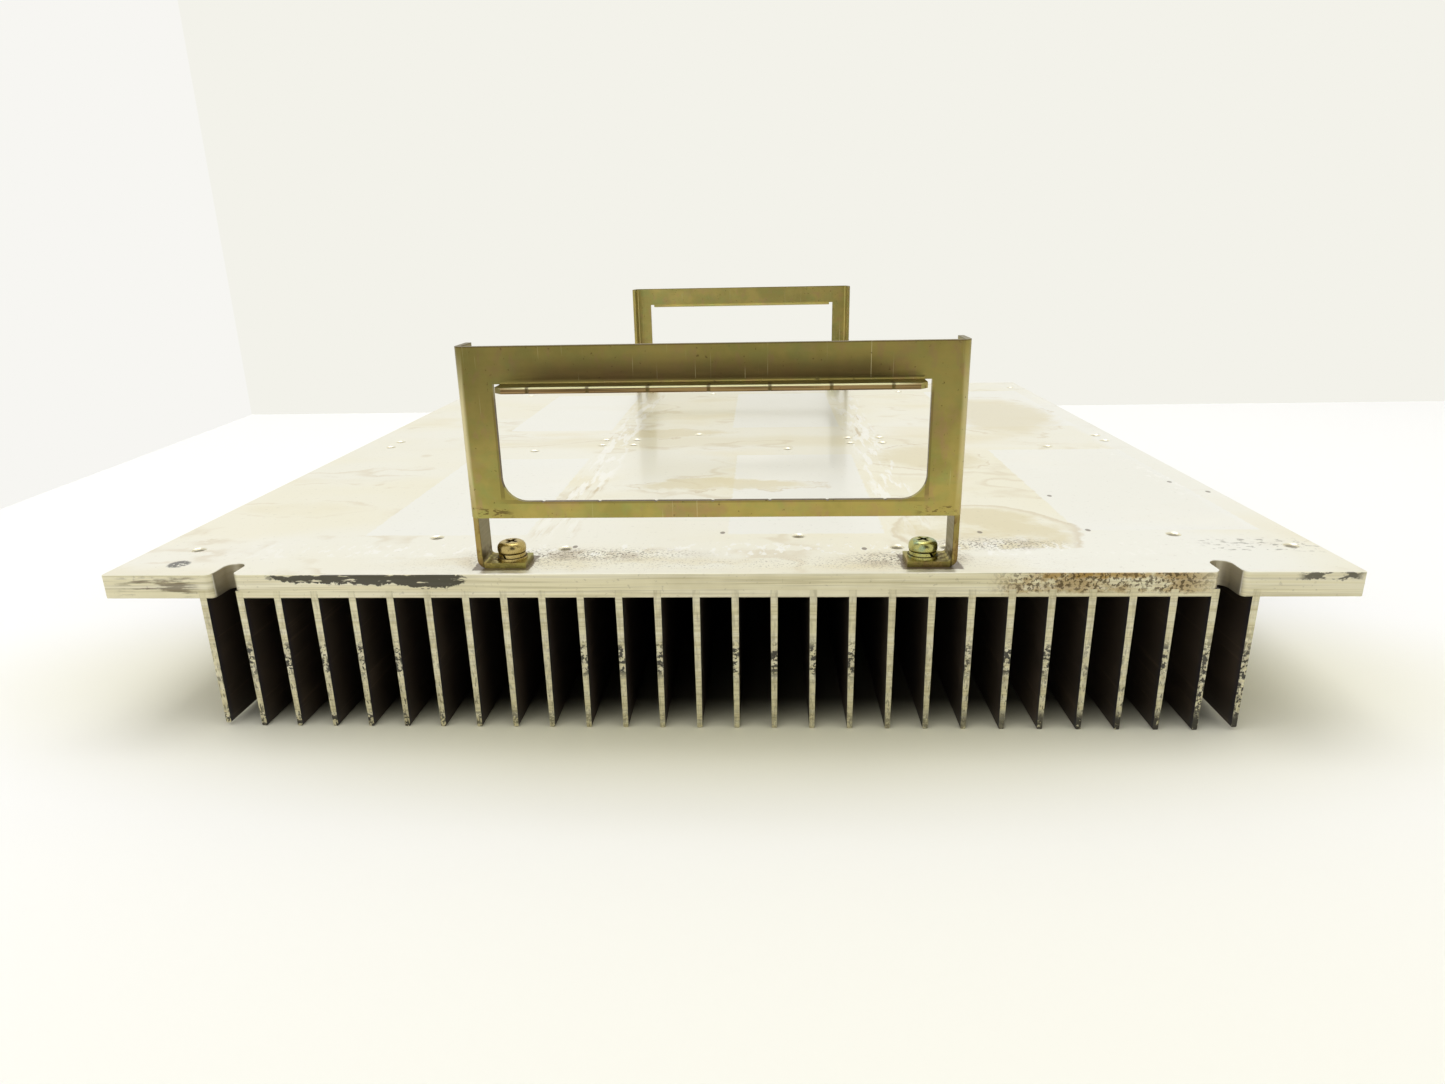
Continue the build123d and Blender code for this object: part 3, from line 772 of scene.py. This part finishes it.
def modelScrew(shape):  # head up, its underside at height 0, the shank below
    bpy.ops.object.select_all(action="DESELECT")
    bpy.ops.mesh.primitive_cylinder_add(
        vertices=shape["corners"],
        radius=shape["headRadius"],
        depth=shape["headHeight"],
        location=(0, 0, shape["headHeight"] / 2),
    )
    screw = bpy.context.active_object
    bpy.ops.object.transform_apply(location=True)
    top = shape["headHeight"] - shape["tiny"]
    bpy.ops.object.mode_set(mode="EDIT")
    pick(screw, "EDGE", lambda a, b: min(a.z, b.z) > top)
    bpy.ops.mesh.bevel(offset=shape["crown"], segments=shape["crownSteps"], profile=0.5)
    pick(screw, "EDGE", lambda a, b: max(a.z, b.z) < shape["tiny"])
    bpy.ops.mesh.bevel(offset=shape["underRound"], segments=3, profile=0.5)
    # the shank grows from the underside in rings, one ridge for each turn of thread
    pick(screw, "FACE", lambda centre, normal: normal.z < -0.99)
    bpy.ops.mesh.inset(thickness=shape["headRadius"] - shape["underRound"] - shape["coreRadius"])
    ridge = shape["threadRadius"] / shape["coreRadius"]
    turns = int((shape["shankLength"] - shape["pointLength"]) / shape["threadPitch"])
    for turn in range(turns):
        for widen in (ridge, 1 / ridge):
            bpy.ops.mesh.extrude_region_move(TRANSFORM_OT_translate={"value": (0, 0, -shape["threadPitch"] / 2)})
            bpy.ops.transform.resize(value=(widen, widen, 1), center_override=(0, 0, 0))
    left = shape["shankLength"] - turns * shape["threadPitch"]
    bpy.ops.mesh.extrude_region_move(TRANSFORM_OT_translate={"value": (0, 0, -left)})
    bpy.ops.transform.resize(value=shape["tipNarrowing"], center_override=(0, 0, 0))
    bpy.ops.object.mode_set(mode="OBJECT")

    # cross recess: two crossed bars, narrower at the bottom, cut out of the head
    for turn in (0, 90):
        bpy.ops.object.select_all(action="DESELECT")
        middle = shape["headHeight"] - shape["crossDepth"] / 2 + shape["crossLift"]
        bpy.ops.mesh.primitive_cube_add(size=1, location=(0, 0, middle))
        bar = bpy.context.active_object
        bar.scale = (shape["crossLength"], shape["crossWidth"], shape["crossDepth"] + 2 * shape["crossLift"])
        bpy.ops.object.transform_apply(location=True, scale=True)
        bpy.ops.object.mode_set(mode="EDIT")
        pick(bar, "FACE", lambda centre, normal: normal.z < -0.99)
        bpy.ops.transform.resize(value=shape["crossNarrowing"], center_override=(0, 0, 0))
        if turn:
            bpy.ops.mesh.select_all(action="SELECT")
            bpy.ops.transform.rotate(value=math.radians(turn), orient_axis="Z", center_override=(0, 0, 0))
        bpy.ops.object.mode_set(mode="OBJECT")
        cut = screw.modifiers.new("recess", "BOOLEAN")
        cut.operation, cut.solver, cut.object = "DIFFERENCE", "EXACT", bar
        bpy.ops.object.select_all(action="DESELECT")
        screw.select_set(True)
        bpy.context.view_layer.objects.active = screw
        bpy.ops.object.modifier_apply(modifier=cut.name)
        bpy.data.objects.remove(bar)
    bpy.ops.object.shade_smooth_by_angle(angle=math.radians(shape["smoothAngle"]))
    return screw


def placeScrews(shape):
    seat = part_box("front_left_spring_washer")[1].z
    shape["shankLength"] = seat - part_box("front_left_screw")[0].z
    first = modelScrew(shape)
    for name, turn in shape["headTurns"].items():
        low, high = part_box(name)
        bpy.ops.object.select_all(action="DESELECT")
        first.select_set(True)
        bpy.context.view_layer.objects.active = first
        bpy.ops.object.duplicate(linked=False)
        screw = bpy.context.active_object
        screw.name = name + "_detailed"
        bpy.ops.object.mode_set(mode="EDIT")
        bpy.ops.mesh.select_all(action="SELECT")
        bpy.ops.transform.rotate(value=math.radians(turn), orient_axis="Z", center_override=(0, 0, 0))
        bpy.ops.transform.translate(value=((low.x + high.x) / 2, (low.y + high.y) / 2, seat))
        bpy.ops.object.mode_set(mode="OBJECT")
        screw.data.materials.clear()
        screw.data.materials.append(fastenerMaterial)
        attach(screw, "root")
        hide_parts(name)
    bpy.data.objects.remove(first)


placeScrews(screwShape)
print("screws modelled:", len(screwShape["headTurns"]))

# floor, light and camera
room = {
    "floorColour": "#F9F9FB",
    "floorWarmShadow": "#EDEACF",
    "floorShadow": "#22180D",
    "backWall": "#F3F2EA",
    "leftWall": "#F7F6F2",
    "floorDrop": 0.0001,
    "backAt": 0.362,
    "leftAt": -0.43,
    "leftLean": 4.5,
    "roomSize": 5.0,
    "skyColour": "#FFFEF6",
    "skyStrength": 1.0,
    "openSide": "#2C281F",
    "openTurn": 25.0,
    "openAcross": {"From Min": -0.25, "From Max": -0.55},
    "openUpTo": {"From Min": 0.94, "From Max": 0.76},
    "softboxPower": 9.0,
    "softboxSize": (1.2, 0.9),
    "softboxPlace": (-0.15, 0.15, 1.25),
    "clouds": {},
    # painted shade on the floor: a warm shadow tint from light bounced off the yellowed metal, far and near, and
    # painted shadow under the fins
    "shapes": {
        "wide": ("plain", blot, 0.9, [((60, -330, 0), (420, 240, 50))]),
        "warm": ("plain", blot, 0.7, [((0, -140, 0), (300, 92, 50))]),
        "under": ("plain", block, 0.1, [((0, 0, 0), (143, 172, 50))]),
    },
    "unions": {},
    # painted shadow: the floor is drawn warmer and darker round the object and dark under it
    "floorLayers": [("floorWarmShadow", "wide", 0.35), ("floorWarmShadow", "warm", 1.0), ("floorShadow", "under", 0.93)],
}


def makeStage(name, size, location, rotation):  # a flat backdrop with an empty material
    bpy.ops.object.select_all(action="DESELECT")
    bpy.ops.mesh.primitive_plane_add(size=size, location=location, rotation=rotation)
    sheet = bpy.context.active_object
    sheet.name = name
    paper = bpy.data.materials.new(name + "Paper")
    sheet.data.materials.append(paper)
    return emptyTree(paper)


def makeWall(name, location, rotation, room):  # a glowing wall that shows from one side only
    tree = makeStage(name, room["roomSize"], location, rotation)
    face = addNode(tree, "ShaderNodeEmission", {"Color": toLinear(room[name])}).outputs[0]
    clear = addNode(tree, "ShaderNodeBsdfTransparent").outputs[0]
    back = addNode(tree, "ShaderNodeNewGeometry").outputs["Backfacing"]
    shown = addNode(tree, "ShaderNodeMixShader", {0: back, 1: face, 2: clear}).outputs[0]
    addNode(tree, "ShaderNodeOutputMaterial", {"Surface": shown})


def makeRoom(room):
    ground = cadBox[0].z - room["floorDrop"]
    half = room["roomSize"] / 2
    tree = makeStage("floor", room["roomSize"] * 2, (0, 0, ground), (0, 0, 0))
    masks = drawMasks(tree, room, {"plain": inMillimetres(tree)}, {})
    tinted = layered(tree, masks, room, toLinear(room["floorColour"]), room["floorLayers"])
    matt = addNode(tree, "ShaderNodeBsdfDiffuse", {"Color": tinted}).outputs[0]
    addNode(tree, "ShaderNodeOutputMaterial", {"Surface": matt})

    upright = math.radians(90)
    lean = math.radians(room["leftLean"])
    behind = (half + room["leftAt"], room["backAt"], half + ground)
    beside = (room["leftAt"] + half * math.sin(lean), room["backAt"] - half * math.cos(lean), half + ground)
    makeWall("backWall", behind, (upright, 0, 0), room)
    makeWall("leftWall", beside, (upright, 0, upright + lean), room)

    world = bpy.data.worlds.new("whiteTent")
    bpy.context.scene.world = world
    tree = emptyTree(world)
    towards = addNode(tree, "ShaderNodeTexCoord").outputs["Generated"]
    turn = {"Vector": towards, "Angle": math.radians(room["openTurn"])}
    turned = addNode(tree, "ShaderNodeVectorRotate", turn, rotation_type="Z_AXIS").outputs[0]
    ways = addNode(tree, "ShaderNodeSeparateXYZ", {0: turned}).outputs
    masks = {"straight": addNode(tree, "ShaderNodeLightPath").outputs["Is Camera Ray"]}
    for name, way in (("openAcross", ways[1]), ("openUpTo", ways[2])):
        inputs = {"Value": way, **room[name]}
        masks[name] = addNode(tree, "ShaderNodeMapRange", inputs, interpolation_type="SMOOTHSTEP").outputs[0]
    # the tent's open side is dark in reflections, and plain white where a view looks straight at it
    opening = [("openSide", "openAcross & openUpTo & no straight", 1.0)]
    tint = layered(tree, masks, room, toLinear(room["skyColour"]), opening)
    sky = addNode(tree, "ShaderNodeBackground", {"Color": tint, "Strength": room["skyStrength"]}).outputs[0]
    addNode(tree, "ShaderNodeOutputWorld", {"Surface": sky})

    light = bpy.data.lights.new("softbox", "AREA")
    light.shape = "RECTANGLE"
    light.size, light.size_y = room["softboxSize"]
    light.energy = room["softboxPower"]
    lamp = bpy.data.objects.new("softbox", light)
    bpy.context.scene.collection.objects.link(lamp)
    lamp.location = room["softboxPlace"]
    lamp.rotation_euler = (-lamp.location).to_track_quat("-Z", "Y").to_euler()


makeRoom(room)
bpy.context.scene.view_settings.view_transform = "Standard"

cameraSet = {
    "place": (0.01348, -0.40074, 0.12833),
    "lens": 22.55,
    "nearest": 0.01,
    "turn": 2.783,
    "tiltDown": 17.894,
    "roll": -1.116,
}
lens = bpy.data.cameras.new("camera")
lens.lens = cameraSet["lens"]
lens.clip_start = cameraSet["nearest"]
camera = bpy.data.objects.new("camera", lens)
bpy.context.scene.collection.objects.link(camera)
camera.matrix_world = (
    Matrix.Translation(cameraSet["place"])
    @ Matrix.Rotation(math.radians(cameraSet["turn"]), 4, "Z")
    @ Matrix.Rotation(math.radians(90 - cameraSet["tiltDown"]), 4, "X")
    @ Matrix.Rotation(math.radians(cameraSet["roll"]), 4, "Z")
)
bpy.context.scene.camera = camera
print("room, light and camera set")
